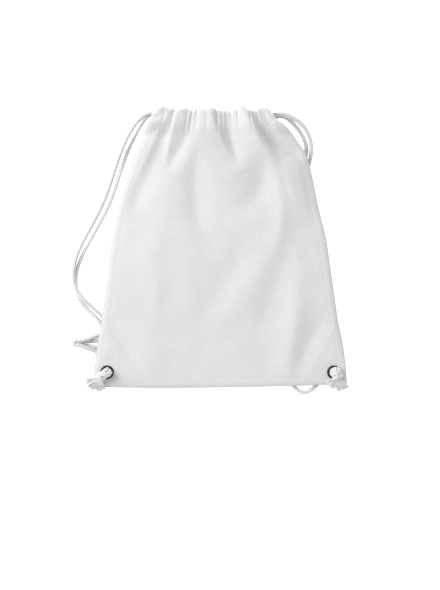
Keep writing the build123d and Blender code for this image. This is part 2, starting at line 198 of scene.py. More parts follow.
def edge_x(line, y):
    """Where a side edge is at places along the bag."""
    return np.interp(y, line[:, 1], line[:, 0])


def bottom_y(x):
    """Where the bottom edge is at places across the bag."""
    return np.interp(x, BOTTOM_LINE[:, 0], BOTTOM_LINE[:, 1])


# Parts of the free cords that lie under the bag and lift its cloth, (x, y).
UNDER_CORDS = [
    [(-183, -97), (-172, -108), (-168, -118), (-176, -130), (-190, -136)],
    [(-190, -150), (-175, -153), (-166, -162), (-165, -176)],
    [(128, 128), (112, 90), (97, 58), (87, 24), (83, -12), (85, -48), (92, -84), (99, -118),
     (100, -148), (100, -173), (108, -196), (122, -203), (136, -198), (148, -188), (158, -182)],
]
CORD_LIFT = 7.0  # how far such a cord lifts the cloth
LIFT_HALF = 7.0  # half the width of the cloth it lifts as far as that
LIFT_FADE = 9.0  # the lift fades over this distance
EYELETS = [(-165, -182), (165, -182)]
CLAMP_R, CLAMP_FADE = 10.5, 16.0  # the cloth is level this far from an eyelet's middle
EYELET_UNDER = 9.2  # height of the back panel on the eyelet's washer
EYELET_OVER = 14.2  # height of the front panel under the eyelet's flange

# Height of the front panel's middle at places along the bag, (y, z), and what is added there
PLATEAU = [(-205, 13.2), (-150, 13.8), (-60, 15), (20, 17.5), (90, 21), (140, 27.5),
           (169, 32), (205, 32.5)]
MIDDLE_RISE = 2.5
EDGE_ROUND = 9.0  # how far from the outline the front panel is rounded
EDGE_WALL = 3.2  # height of that rounding
CORNER_CUT = 2.0  # how far the bag's corners are rounded off
FOLD_FADE = 20.0  # the folds fade out this far from the outline
SEAM_LOW = 10.6  # the side seams' height, where no cord is under them
SEAM_ON_CORD, SEAM_LIFT = 3.4, 0.85  # where one is: the least, and the share of its lift
SLIT_Z = 19.0  # where the side seams end, under the casings
CASING_MIN_Z = 26.6  # the cords inside hold the front casing this high
GATHER = 2.1  # height of the casing's gathers
GATHER_MEAN = 0.75  # the lobe_share that is neither raised nor lowered
BACK_GATHER = 1.2
PUCKER = 0.1  # depth of the casing's stitch line, and of the puckers along it
ALLOWANCE_RELIEF = 0.22  # how far the seam allowances show through the cloth
PATCH_RELIEF = 0.4  # the same for the corner patches
CORNER_PATCH = [(175.5, -195.5), (115.5, -195.5), (165.0, -111.5)]  # the right one, (x, y)

# Maps of the bag, worked out once and read at any place
MAP_STEP = 2.0
MAP_X = np.arange(-228.0, 228.0, MAP_STEP)
MAP_Y = np.arange(-222.0, 226.0, MAP_STEP)


def spline_weights(t):
    """Shares of four neighbours at t between the middle two, in a cubic spline."""
    second = (3 * t**3 - 6 * t**2 + 4) / 6
    third = (-3 * t**3 + 3 * t**2 + 3 * t + 1) / 6
    return (1 - t) ** 3 / 6, second, third, t**3 / 6


def from_map(values, x, y):
    """A cubic spline through a map of the bag, at any place."""
    u = np.clip((x - MAP_X[0]) / MAP_STEP, 1, len(MAP_X) - 3.001)
    v = np.clip((y - MAP_Y[0]) / MAP_STEP, 1, len(MAP_Y) - 3.001)
    i, j = u.astype(int), v.astype(int)
    total = np.zeros(np.shape(x))
    for k, wv in enumerate(spline_weights(v - j)):
        for m, wu in enumerate(spline_weights(u - i)):
            total = total + wv * wu * values[j + k - 1, i + m - 1]
    return total


def lift_height(x, y):
    """How far the cords under the bag lift the cloth there."""
    lift = np.zeros(np.shape(x))
    for route in UNDER_CORDS:
        signed, _ = beside(curve(route, 60), x, y)
        reach = np.clip(np.abs(signed) - LIFT_HALF, 0, None) / LIFT_FADE
        lift = np.maximum(lift, CORD_LIFT * np.exp(-(reach**2)))
    return lift


LIFT_MAP = lift_height(*np.meshgrid(MAP_X, MAP_Y))


def eyelet_level(z, x, y, level):
    """The cloth is clamped level around each eyelet."""
    for ex, ey in EYELETS:
        away = smooth((np.hypot(x - ex, y - ey) - CLAMP_R) / CLAMP_FADE)
        z = z * away + level * (1 - away)
    return z


def seam_z(x, y):
    """Height of the line where the panels meet."""
    rise = smooth((y - 92) / 78)
    low = np.maximum(SEAM_LOW, SEAM_ON_CORD + SEAM_LIFT * from_map(LIFT_MAP, x, y))
    return low * (1 - rise) + SLIT_Z * rise


def inside(x, y):
    """Distance inwards from the side edges, and from the bottom edge."""
    in_side = np.minimum(x - edge_x(LEFT_LINE, y), edge_x(RIGHT_LINE, y) - x)
    return np.clip(in_side, 0, None), np.clip(y - bottom_y(x), 0, None)


def patch_depth(x, y):
    """Distance inwards from the edges of a corner patch, below zero outside it."""
    ax = np.abs(x)
    depth = np.full(np.shape(x), 1e3)
    for (x0, y0), (x1, y1) in zip(CORNER_PATCH, CORNER_PATCH[1:] + CORNER_PATCH[:1]):
        nx, ny = (y1 - y0), -(x1 - x0)
        length = math.hypot(nx, ny)
        depth = np.minimum(depth, ((ax - x0) * nx + (y - y0) * ny) / length)
    return depth


def lobe_share(x):
    """0 in the tucks between the mouth's lobes, 1 on a lobe's middle; and the top edge's height."""
    share = np.zeros(np.shape(x))
    top = np.full(np.shape(x), TUCK_TOP)
    for middle, high, half in LOBES:
        t = np.clip(1 - ((x - middle) / half) ** 2, 0, 1)
        share = np.maximum(share, np.sqrt(t) * min(1.0, 0.45 + half / 14))
        top = np.maximum(top, TUCK_TOP + (high - TUCK_TOP) * t**0.4)
    return share, top


# Waves of the slack cloth: length, direction, height, phase
WAVES = [(61, 0.4, 0.14, 0.5), (47, 2.1, 0.10, 1.9), (83, 1.2, 0.18, 4.0), (34, 2.8, 0.06, 2.7),
         (26, 0.9, 0.04, 0.3)]


def slack(x, y):
    """Small uneven waves of loose cloth."""
    z = np.zeros(np.shape(x))
    for length, turn, height, phase in WAVES:
        across = x * math.cos(turn) + y * math.sin(turn)
        along = y * math.cos(turn) - x * math.sin(turn)
        bend = 0.9 * np.sin(along / length * 2.3 + phase)
        z = z + height * np.sin(2 * math.pi * across / length + phase + bend)
    return z


def fold_height(folds, x, y):
    """The folds' heights added up."""
    z = np.zeros(np.shape(x))
    for points, on_left, on_right, sharpness in folds:
        line = curve(points)
        signed, share = beside(line, x, y)
        height = np.interp(share, np.linspace(0, 1, len(line)), line[:, 2])
        width = np.where(signed < 0, on_left, on_right)
        z = z + height * bell(signed / width, sharpness)
    return z


def softened(values, passes):
    """Cloth can't crease as sharply as the sum of the folds does."""
    for _ in range(2 * passes):
        padded = np.pad(values, [(1, 1), (0, 0)], "edge")
        values = (values / 2 + (padded[:-2] + padded[2:]) / 4).T
    return values


FOLD_MAP = 0
for folds, factor, passes in ((FOLDS, 1.15, 1), (SOFT_FOLDS, 0.5, 3)):
    FOLD_MAP = FOLD_MAP + softened(factor * fold_height(folds, *np.meshgrid(MAP_X, MAP_Y)), passes)


def front_z(x, y):
    """Height of the front panel's cloth."""
    in_side, in_end = inside(x, y)
    # two edges meet in a rounded corner
    inward = np.minimum(in_side, in_end) - CORNER_CUT * np.exp(-np.abs(in_side - in_end) / 8.0)
    inward = np.clip(inward, 0, None)
    t = np.clip(1 - inward / EDGE_ROUND, 0, 1)
    profile = np.sqrt(np.clip(1 - t * t, 0, 1)) * 0.8 + 0.2 * smooth(inward / (2.4 * EDGE_ROUND))
    slit = smooth((y - 158) / 24)
    # a low wall at the edge, then an arch across the bag; the mouth is open, so it has neither
    low = seam_z(x, y)
    half = (edge_x(RIGHT_LINE, y) - edge_x(LEFT_LINE, y)) / 2
    arch = 1 - (1 - np.clip(in_side / half, 0, 1)) ** 2
    arch = arch + (1 - arch) * slit
    profile = profile + (1 - profile) * slit
    middle = np.interp(y, *zip(*PLATEAU)) + MIDDLE_RISE * arch * smooth((y + 190) / 150)
    z = low + EDGE_WALL * profile + (middle - low - EDGE_WALL) * arch
    away = np.maximum(smooth(inward / FOLD_FADE), slit)
    z = z + from_map(FOLD_MAP, x, y) * away + slack(x, y) * away
    # gathers of the casing, and the pucker along its stitch line
    share, _ = lobe_share(CENTRE_X + (x - CENTRE_X) * (1 - 0.0032 * np.clip(197 - y, 0, 60)))
    z = z + GATHER * (share - GATHER_MEAN) * smooth((y - 152) / 38)
    z = z - PUCKER * bell((y - STITCH_Y) / 1.6, 2)
    # the cords inside hold the casing open
    held = CASING_MIN_Z - 30 * (1 - smooth((y - 138) / 42))
    z = (z + held) / 2 + np.sqrt((z - held) ** 2 / 4 + 0.6)
    z = z + PUCKER * np.sin(x * 1.37 + np.sin(x * 0.31) * 2) * bell((y - STITCH_Y) / 4, 2)
    # the seam allowances and the corner patches under the cloth
    sewn = 1 - smooth((np.minimum(in_side, in_end) - 7.5) / 2.4)
    z = z + ALLOWANCE_RELIEF * sewn * smooth(inward / 3) * (1 - slit)
    depth = patch_depth(x, y)
    z = z + PATCH_RELIEF * smooth(depth / 8.0 + 0.5) + PATCH_RELIEF / 2 * bell((depth - 6) / 6, 2)
    return eyelet_level(z, x, y, EYELET_OVER)


def back_z(x, y):
    """Height of the back panel's cloth: on the floor, over the cords, and up to the seam."""
    in_side, in_end = inside(x, y)
    inward = np.minimum(in_side, in_end)
    lie = FLOOR_GAP + CLOTH_T + from_map(LIFT_MAP, x, y)
    share, _ = lobe_share(-x - 20)
    lie = lie + BACK_GATHER * (1 - share) * smooth((y - 150) / 24)
    seam = seam_z(x, y) - CLOTH_T - 0.15
    up = (1 - smooth(inward / 22.0)) ** 2 * (1 - smooth((y - 166) / 16))
    return eyelet_level(lie + (seam - lie) * up, x, y, EYELET_UNDER)


# ---- Mesh helpers. They take millimetres and make meshes in metres ----

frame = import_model()
BLENDS = {
    "left": {"a": "bag", "b": "left_end", "start": (-0.010, 0.204, 0), "end": (-0.0746, 0.2396, 0)},
    "right": {"a": "bag", "b": "right_end", "start": (-0.010, 0.204, 0), "end": (0.0504, 0.2414, 0)},
}


def write_attribute(mesh, name, values):
    """A number for each vertex, which the materials read."""
    attribute = mesh.attributes.new(name, "FLOAT", "POINT")
    attribute.data.foreach_set("value", values.astype(np.float32))


def mesh_object(name, points, faces, normals=None):
    """An object from points in millimetres, smooth shaded, with given vertex normals if any. A
    fourth column is the height of the braid's threads."""
    mesh = bpy.data.meshes.new(name)
    points = np.asarray(points)
    mesh.from_pydata((points[:, :3] * MM).tolist(), [], [list(map(int, f)) for f in faces])
    mesh.update()
    mesh.polygons.foreach_set("use_smooth", [True] * len(mesh.polygons))
    if normals is not None:
        mesh.normals_split_custom_set_from_vertices(np.asarray(normals).tolist())
    if points.shape[1] == 4:
        write_attribute(mesh, "thread", points[:, 3])
    obj = bpy.data.objects.new(name, mesh)
    bpy.context.scene.collection.objects.link(obj)
    return obj


def unit(v):
    """Vectors of length 1 in the same directions."""
    return v / np.maximum(np.linalg.norm(v, axis=-1, keepdims=True), 1e-9)


def grid_normals(points):
    """Normals of a grid of points whose columns go to the right and whose rows go up."""
    return unit(np.cross(np.gradient(points, axis=1), np.gradient(points, axis=0)))


def shell(name, points, normals, thickness=CLOTH_T, keep=None, crease=None):
    """A closed thin sheet: the grid of points, a copy that far behind it, and a rim all round."""
    rows, cols = points.shape[:2]
    index = np.arange(rows * cols).reshape(rows, cols)
    quads = np.stack([index[:-1, :-1], index[:-1, 1:], index[1:, 1:], index[1:, :-1]], -1)
    quads = quads.reshape(-1, 4)
    if keep is not None:
        quads = quads[keep.reshape(-1)[quads].all(axis=1)]
    used, flat = np.unique(quads, return_inverse=True)
    quads = flat.reshape(-1, 4)
    front = points.reshape(-1, 3)[used]
    out = normals.reshape(-1, 3)[used]
    count = len(front)
    edges = np.concatenate([quads[:, [k, (k + 1) % 4]] for k in range(4)])
    codes = edges[:, 0] * count + edges[:, 1]
    rim = edges[~np.isin(codes, edges[:, 1] * count + edges[:, 0])]
    rim_quads = np.stack([rim[:, 1], rim[:, 0], rim[:, 0] + count, rim[:, 1] + count], -1)
    faces = np.concatenate([quads, quads[:, ::-1] + count, rim_quads])
    both = np.concatenate([front, front - out * thickness])
    obj = mesh_object(name, both, faces, np.concatenate([out, -out]))
    # the crease attribute marks painted shade along the outline, which the cloth material reads
    if crease is not None:
        write_attribute(obj.data, "crease", np.tile(crease.reshape(-1)[used], 2))
    return obj


EDGE_SHADE_WIDTH, RIGHT_EDGE_SHADE = 2.2, 0.4  # painted shade along the outline, weaker on the right


def painted_outline_shade(x, y):
    """1 on the outline, falling to 0 a little inside it: where the cloth is painted darker as shade
    along the outline.
    """
    near = 1 - smooth(np.minimum(*inside(x, y)) / EDGE_SHADE_WIDTH)
    return near * np.where(x > 0, RIGHT_EDGE_SHADE, 1.0)


def distances(points):
    """How far along a line each of its points is."""
    return np.concatenate([[0], np.cumsum(np.linalg.norm(np.diff(points, axis=0), axis=1))])


def even_points(points, step):
    """Points at an even spacing along a line."""
    points = np.asarray(points, float)
    along = distances(points)
    count = max(int(round(along[-1] / step)) + 1, 3)
    wanted = np.linspace(0, along[-1], count)
    return np.stack([np.interp(wanted, along, points[:, k]) for k in range(3)], -1), along[-1]


def spline_points(name, route):
    """The points along a curve that has the route's points as its control points, in millimetres."""
    data = bpy.data.curves.new(name, "CURVE")
    data.dimensions = "3D"
    data.resolution_u = 16
    spline = data.splines.new("NURBS")
    spline.points.add(len(route) - 1)
    for point, place in zip(spline.points, route):
        point.co = (place[0] * MM, place[1] * MM, place[2] * MM, 1)
    spline.order_u = 3
    spline.use_endpoint_u = True
    obj = bpy.data.objects.new(name, data)
    bpy.context.scene.collection.objects.link(obj)
    bpy.context.view_layer.update()
    mesh = bpy.data.meshes.new_from_object(obj.evaluated_get(bpy.context.evaluated_depsgraph_get()))
    points = np.array([v.co[:] for v in mesh.vertices]) / MM
    bpy.data.objects.remove(obj)
    bpy.data.meshes.remove(mesh)
    return points


def frames_along(points):
    """Two directions across a line that turn as little as they can."""
    tangent = unit(np.gradient(points, axis=0))
    side = np.zeros_like(points)
    start = np.array([0, 0, 1.0] if abs(tangent[0][2]) < 0.9 else [1.0, 0, 0])
    side[0] = unit(start - tangent[0] * (start @ tangent[0]))
    for i in range(1, len(points)):
        side[i] = side[i - 1] - tangent[i] * (side[i - 1] @ tangent[i])
        side[i] = side[i] / np.linalg.norm(side[i])
    return side, np.cross(tangent, side)


BRAID_COLUMNS = 6
BRAID_PITCH = 3.9
BRAID_RELIEF = 0.62  # height of the threads
BRAID_MEAN = 0.6  # share of that height that is on the core's radius


def tube(points, radius, around, relief=None):
    """Points and faces of a closed tube. relief(turn, along) adds to the radius."""
    side, other = frames_along(points)
    turn = np.linspace(0, 1, around, endpoint=False)[None, :]
    radius = np.broadcast_to(np.asarray(radius, float).reshape(-1, 1), (len(points), around))
    if relief is not None:
        high = relief(turn, distances(points)[:, None])
        radius = radius + high
    angle = turn * 2 * math.pi
    ring = side[:, None, :] * np.cos(angle)[..., None] + other[:, None, :] * np.sin(angle)[..., None]
    verts = (points[:, None, :] + ring * radius[..., None]).reshape(-1, 3)
    # the threads' heights as a fourth column; the cord material paints shade from them, darker down in
    # the grooves
    if relief is not None:
        verts = np.concatenate([verts, (high / BRAID_RELIEF + BRAID_MEAN).reshape(-1, 1)], axis=1)
    index = np.arange(len(verts)).reshape(len(points), around)
    nxt = np.roll(index, -1, axis=1)
    quads = np.stack([index[:-1], nxt[:-1], nxt[1:], index[1:]], -1).reshape(-1, 4)
    faces = quads.tolist() + [index[0][::-1].tolist(), index[-1].tolist()]
    return verts, faces


def braid(turn, along):
    """Slanted stitches in columns, whose slant changes from column to column."""
    place = (turn + 0.0011 * along) * BRAID_COLUMNS
    column = np.floor(place)
    across = place - column
    slant = np.where(column % 2 == 0, 1.0, -1.0)
    phase = along / BRAID_PITCH + slant * across * 0.5 + 0.25 * np.sin(along * 0.37)
    stitch = np.abs(np.sin(math.pi * phase)) ** 0.7
    return BRAID_RELIEF * (stitch * (0.25 + 0.75 * np.sin(math.pi * across) ** 0.5) - BRAID_MEAN)


def dress(obj, node, slot, body=None):
    """Bakes a piece's transform or attaches it to one body, hides the node it stands for and notes its
    material slot.
    """
    if body is None:
        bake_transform(obj)
    else:
        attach(obj, body)
    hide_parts(node)
    obj["look"] = slot
    return obj


def joined(pieces):
    """Several (points, faces) as one."""
    points, faces, count = [], [], 0
    for verts, polys in pieces:
        points.append(verts)
        faces += [[i + count for i in poly] for poly in polys]
        count += len(verts)
    return np.concatenate(points), faces


# ---- Free cords, first of all ----

CORD_CORE_R = 3.02  # the braid's threads stand on this radius
CORD_STEP = 0.55  # between the rings of a strand's mesh
LIFT = 3.4  # centre of a cord that lies on the floor
# Control points of each strand's spline, from the mouth to its eyelet. Those without a height lie on
# the floor.
STRANDS = {
    "left_strand_front": [
        (-92.15, 193.2, 22.8), (-103, 194.5, 24.4), (-116, 187, 24), (-128, 173, 20),
        (-141, 150, 13), (-154, 115, 5.5), (-169, 69), (-187, 34), (-201, 9, 4.5), (-211, -14, 8.5),
        (-215.5, -38, 10.3), (-212.5, -60, 10.3), (-199.5, -76.5, 9), (-187, -88, 4.4),
        (-172, -101), (-163, -114), (-165, -129), (-177, -135.6), (-190, -137.8), (-203, -136.4),
        (-208.6, -136.1), (-211.4, -136.1), (-213.3, -138), (-213.3, -140.8), (-211.4, -142.7),
        (-208.6, -142.7), (-203, -142.8), (-193, -144.4), (-180, -145.6), (-167, -150),
        (-161.5, -161.5), (-161.3, -172), (-162.2, -175.7),
    ],
    "left_strand_back": [
        (-92.15, 195.4, 6.75), (-103, 195.4, 6.75), (-113, 185, 5.6), (-121, 171, 4.4),
        (-132.5, 148), (-145.5, 113), (-160.5, 66), (-179, 31), (-192.5, 7), (-204, -16),
        (-212, -39), (-211.5, -61), (-205, -80), (-192, -93.5), (-178.5, -105.5), (-172, -117),
        (-175, -127), (-184, -130.4, 5.4), (-194, -134, 9.6), (-204, -136.2, 10.3),
        (-209.1, -136.1, 10.3), (-211.9, -136.1, 10.3), (-213.8, -138, 10.3),
        (-213.8, -140.8, 10.3), (-211.9, -142.7, 10.3), (-209.1, -142.7, 10.3),
        (-204, -143, 10.3), (-196, -146.4, 9.8), (-186, -150, 7.2), (-177, -153.2, 4.6),
        (-170, -163), (-168.7, -172), (-167.8, -175.7),
    ],
    "right_strand_front": [
        (72.15, 187, 22.8), (79, 192.5, 24.8), (92, 193.5, 24.6), (107, 186.5, 22), (121, 176, 17),
        (130, 161, 10.5), (133.4, 142, 6.2), (130, 121), (116.5, 90), (101, 58), (91, 24),
        (87, -12), (89, -48), (96, -84), (103, -118), (104.5, -147), (104, -172), (110, -189),
        (122, -195.5), (135, -191), (146, -182.5), (157.8, -178.2),
    ],
    "right_strand_back": [
        (72.15, 187, 6.75), (84, 193, 7.2), (97, 189.5, 6.4), (107.5, 180, 4.8), (116, 169.5),
        (123, 157), (126.6, 143), (122.5, 124), (109, 93), (93.5, 61), (83.5, 25.5), (79.5, -12),
        (81.5, -49.5), (88.5, -86), (95.5, -119.5), (97, -148.5), (96, -175), (101.5, -194),
        (110, -207.5), (122, -213.5), (134, -208), (143, -199), (150, -192), (157.8, -186.2),
    ],
}
for name, route in STRANDS.items():
    side = name.split("_")[0]
    places = [(*point, LIFT)[:3] for point in route]
    path, length = even_points(spline_points(name + "_path", places), CORD_STEP)
    strand = mesh_object(name + "_braid", *tube(path, CORD_CORE_R, 48, braid))
    dress(strand, name, "cord")

# The runs inside the casings, in halves. At its far end a run turns from the front casing into the
# back one.
RUN_FRONT_Z, RUN_BACK_Z, RUN_STEP = 22.6, 6.85, 0.8
TURN_Z, TURN_R = 14.73, 7.87
RUNS = {
    # node: (height along the bag, x where it meets its strands, x of its turn)
    "left_cord_run": (192.6, -92.3, 64.0),
    "right_cord_run": (185.6, 72.3, -84.0),
}
for node, (run_y, open_x, turn_x) in RUNS.items():
    bend = [
        (turn_x + math.copysign(TURN_R * math.sin(a), turn_x), run_y, TURN_Z + TURN_R * math.cos(a))
        for a in np.linspace(0, math.pi, 14)
    ]
    for side, end_x in zip(BLENDS, sorted((open_x, turn_x))):
        if end_x == turn_x:
            routes = [[(CENTRE_X, run_y, RUN_FRONT_Z), *bend, (CENTRE_X, run_y, RUN_BACK_Z)]]
        else:
            # straight, but for a small drift towards the strand that it becomes
            routes = [
                [(CENTRE_X, run_y, z), (end_x, run_y + drift, z)]
                for z, drift in ((RUN_FRONT_Z, 0.6), (RUN_BACK_Z, 2.8))
            ]
        tubes = [tube(even_points(route, RUN_STEP)[0], CORD_CORE_R, 32, braid) for route in routes]
        dress(mesh_object(f"{node}_{side}_half", *joined(tubes)), node, "cord")

# ---- Cloth: each panel and casing in a left and a right half that meet at the mouth's middle ----

COLUMNS, ROWS = (0.07, 15), (0.045, 20)  # share of a half with narrow columns or rows, and how many
HEM_SHARE = 0.205  # share of a half that is its hemmed end
PANEL_FOOT = -204.0
HOLE_R = 7.7  # of the cloth at an eyelet
FRONT_GRID, BACK_GRID, CASING_COLUMNS = (280, 128), (190, 84), 128
MOUTH_ROUND = 5.0  # height of the casing's rounded top
BACK_DROP = 1.6  # how much lower the back casing's top is
# A casing's inner layer: its height over the outer one at the stitches, its height where the cords
# run, and how far the gathers move it
INNER_LAYER = {"front": (-1.1, 18.8, 0.9), "back": (1.7, 11.6, -0.9)}
EDGES = {"left": LEFT_LINE, "right": RIGHT_LINE}


def shares(fine_share, fine_count, count):
    """From 0 on the outline to 1 at a half's other side, closer together at first, and one beyond."""
    fine = fine_share * np.linspace(0, 1, fine_count, endpoint=False) ** 1.5
    even = np.linspace(fine_share, 1, count)
    return np.concatenate([fine, even, [2 * even[-1] - even[-2]]])


def ordered(side, grid):
    """Columns from left to right, whichever half it is."""
    return grid if side == "left" else grid[:, ::-1]


def trimmed(side, grid):
    """Without the column beyond the middle."""
    return grid[:, :-1] if side == "left" else grid[:, 1:]


def clear_of_eyelets(x, y):
    """Whether places are outside the eyelets' holes."""
    return np.minimum(*[np.hypot(x - ex, y - ey) for ex, ey in EYELETS]) > HOLE_R


def half_panel(side, face, surface, rows, columns):
    """The left or right half of the front or back panel, up to the casing."""
    v, q = np.meshgrid(shares(*ROWS, rows), shares(*COLUMNS, columns), indexing="ij")
    outer = edge_x(EDGES[side], PANEL_FOOT + (STITCH_Y - PANEL_FOOT) * v)
    x = outer + (CENTRE_X - outer) * q
    y = bottom_y(x) + (STITCH_Y - bottom_y(x)) * v
    x, y = ordered(side, x), ordered(side, y)
    points = np.stack([x, y, surface(x, y)], -1)
    points, normals = (trimmed(side, grid)[:-1] for grid in (points, grid_normals(points)))
    x, y = points[..., 0], points[..., 1]
    # crease: where the cloth is painted darker, as shade along the outline
    keep, crease = clear_of_eyelets(x, y), painted_outline_shade(x, y)
    obj = shell(f"{side}_half_of_{face}_panel", points, normals, keep=keep, crease=crease)
    return dress(obj, f"{face}_panel", "canvas")


def casing_loop(side, face):
    """Rows from the stitch line up the outer layer, over the mouth's edge and down the inner layer."""
    outer_rows = np.concatenate([[-0.05], np.linspace(0, 1, 26)])
    arc = np.linspace(0, math.pi, 17)[1:-1]
    inner_rows = np.linspace(1, 0, 14)
    q = shares(*COLUMNS, CASING_COLUMNS)
    far = edge_x(EDGES[side], np.array([STITCH_Y + 14.0]))[0]
    share, top = lobe_share(far + (CENTRE_X - far) * q)
    if face == "back":
        # its lobes are the front's the other way round, moved a little
        share, top = lobe_share(-24 - (far + (CENTRE_X - far) * q))
        top = top - BACK_DROP
    rows = []

    def place(y):
        outer = edge_x(EDGES[side], y)
        return outer + (CENTRE_X - outer) * q

    def outer_z(x, y):
        return front_z(x, y) if face == "front" else back_z(x, y) - CLOTH_T

    def inner_z(y):
        """The inner layer starts on the outer one at the stitches and opens out for the cord."""
        x = place(np.full(len(q), STITCH_Y))
        opened = smooth((y - STITCH_Y) / 9.0)
        sewn, inner, gather = INNER_LAYER[face]
        start = outer_z(x, STITCH_Y + 0 * x) + sewn
        return start * (1 - opened) + (inner + gather * (share - 0.6)) * opened

    fold = top - MOUTH_ROUND
    for f in outer_rows:
        y = STITCH_Y + f * (fold - STITCH_Y)
        rows.append(np.stack([place(y), y, outer_z(place(y), y)], -1))
    z_out, z_in = outer_z(place(fold), fold), inner_z(fold)
    middle, half = (z_out + z_in) / 2, (z_out - z_in) / 2
    for a in arc:
        y = fold + MOUTH_ROUND * math.sin(a)
        rows.append(np.stack([place(y), y, middle + half * math.cos(a)], -1))
    for f in inner_rows:
        y = STITCH_Y + f * (fold - STITCH_Y)
        rows.append(np.stack([place(y), y, inner_z(y)], -1))
    # rows upwards; the one below the stitches was only for the normals
    points = ordered(side, np.stack(rows if face == "front" else rows[::-1]))
    used = slice(1, None) if face == "front" else slice(None, -1)
    return [trimmed(side, grid)[used] for grid in (points, grid_normals(points))]


def casing_pieces(side, face):
    """Half a casing, and the hemmed end beyond it."""
    points, normals = casing_loop(side, face)
    count = points.shape[1]
    hem = int(np.searchsorted(shares(*COLUMNS, CASING_COLUMNS), HEM_SHARE))
    if side == "left":
        hem_columns, rest = slice(0, hem + 1), slice(hem, count)
    else:
        hem_columns, rest = slice(count - hem - 1, count), slice(0, count - hem)
    tube_piece = shell(f"{side}_half_of_{face}_casing", points[:, rest], normals[:, rest])
    dress(tube_piece, f"{face}_casing", "casing")
    hem_piece = shell(f"{side}_{face}_hem_cloth", points[:, hem_columns], normals[:, hem_columns])
    dress(hem_piece, f"{side}_{face}_casing_hem", "casing")


for side in EDGES:
    for face, surface, grid in (("front", front_z, FRONT_GRID), ("back", back_z, BACK_GRID)):
        cloth = half_panel(side, face, surface, *grid)
        casing_pieces(side, face)

# ---- Seam allowances and corner patches, between the panels ----

EDGE_GAP = 1.1  # between the outline and an allowance's outer edge
SIDE_ALLOWANCE, BOTTOM_ALLOWANCE = 7.6, 7.0  # how far in they reach
PATCH_LIMIT_X, PATCH_LIMIT_Y = 171, -190  # the patches stay inside the seams


def strip(name, x, y, node):
    """A seam allowance on a grid of places."""
    points = np.stack([x, y, seam_z(x, y) + 0.35], -1)
    obj = shell(name, points, grid_normals(points), thickness=0.6)
    return dress(obj, node, "overlocked_seam")


for side, edge in EDGES.items():
    across = np.linspace(EDGE_GAP, SIDE_ALLOWANCE, 6)
    y, inward = np.meshgrid(np.linspace(-193, 165, 240), across, indexing="ij")
    x = edge_x(edge, y) + (inward if side == "left" else -inward)
    strip(f"{side}_seam_allowance", ordered(side, x), ordered(side, y), f"{side}_seam")
    across = np.linspace(EDGE_GAP, BOTTOM_ALLOWANCE, 6)
    q, inward = np.meshgrid(np.linspace(0, 1, 120), across)
    end = -174 if side == "left" else 173
    x = ordered(side, end + (CENTRE_X - end) * q)
    strip(f"{side}_half_of_bottom_seam", x, bottom_y(x) + inward, "bottom_seam")
    (ax, ay), (bx, _), (cx, cy) = CORNER_PATCH
    u, v = np.meshgrid(np.linspace(0, 1, 60), np.linspace(0, 1, 60))
    x = cx + (ax + (bx - ax) * u - cx) * v
    y = cy + (ay - cy) * v
    x, y = np.clip(x, 0, PATCH_LIMIT_X), np.clip(y, PATCH_LIMIT_Y, 0)
    # rows upwards and columns to the right
    x, y = x[::-1, ::-1], y[::-1, ::-1]
    if side == "left":
        x, y = -x[:, ::-1], y[:, ::-1]
    for face in ("front", "back"):
        height = front_z(x, y) - CLOTH_T - 0.2 if face == "front" else back_z(x, y) + 0.5
        points = np.stack([x, y, height], -1)
        keep = clear_of_eyelets(x, y)
        up = np.zeros_like(points)
        up[..., 2] = 1
        patch = shell(f"{side}_{face}_patch_cloth", points, up, thickness=0.3, keep=keep)
        dress(patch, f"{side}_{face}_corner_patch", "canvas")

# ---- Stitches of the front casing, each a thread that is thicker in its middle ----

STITCH_LENGTH, STITCH_PITCH, STITCH_R = 2.1, 3.0, 0.2
STITCH_ARCH = np.array([-0.35, 0.08, 0.16, 0.08, -0.35])  # height over the cloth along a stitch
for side, edge in EDGES.items():
    end = edge_x(edge, STITCH_Y)
    ends = (end + 1.5, CENTRE_X) if side == "left" else (CENTRE_X, end - 1.5)
    places, _ = even_points([(x, STITCH_Y, 0) for x in np.linspace(*ends, 60)], STITCH_PITCH)
    pieces = []
    for place, way in zip(places[:-1], unit(np.gradient(places, axis=0))):
        spots = place + way * np.linspace(0, STITCH_LENGTH, 5)[:, None]
        spots[:, 2] = front_z(spots[:, 0], spots[:, 1]) + STITCH_ARCH
        pieces.append(tube(spots, [0.12, STITCH_R, STITCH_R, STITCH_R, 0.12], 6))
    threads = mesh_object(f"{side}_casing_stitches", *joined(pieces))
    dress(threads, "front_casing", "casing")

# ---- Eyelets ----

EYELET_SIDES = 96
# The ring's cross section, (radius, height)
EYELET_PROFILE = [(6.6, 7.4), (6.5, 9), (6.5, 14.6), (6.7, 15.3), (7.2, 15.75), (8, 15.95),
                  (8.9, 15.85), (9.6, 15.5), (10, 15.05), (10.05, 14.75), (9.8, 14.6), (7.3, 14.6),
                  (7.15, 9), (7.15, 7.4)]
for side, (ex, ey) in zip(EDGES, EYELETS):
    turns = np.linspace(0, 2 * math.pi, EYELET_SIDES, endpoint=False)
    profile = np.array(EYELET_PROFILE)
    ring = np.stack([
        ex + np.outer(np.cos(turns), profile[:, 0]),
        ey + np.outer(np.sin(turns), profile[:, 0]),
        np.outer(np.ones(EYELET_SIDES), profile[:, 1]),
    ], -1)
    index = np.arange(EYELET_SIDES * len(profile)).reshape(EYELET_SIDES, len(profile))
    after = np.roll(index, -1, axis=0)
    quads = np.stack([index, np.roll(index, -1, axis=1), np.roll(after, -1, axis=1), after], -1)
    eyelet = mesh_object(f"{side}_eyelet_ring", ring.reshape(-1, 3), quads.reshape(-1, 4)[:, ::-1])
    dress(eyelet, f"{side}_eyelet", "eyelet", body="bag")

# ---- Knots and frayed ends ----


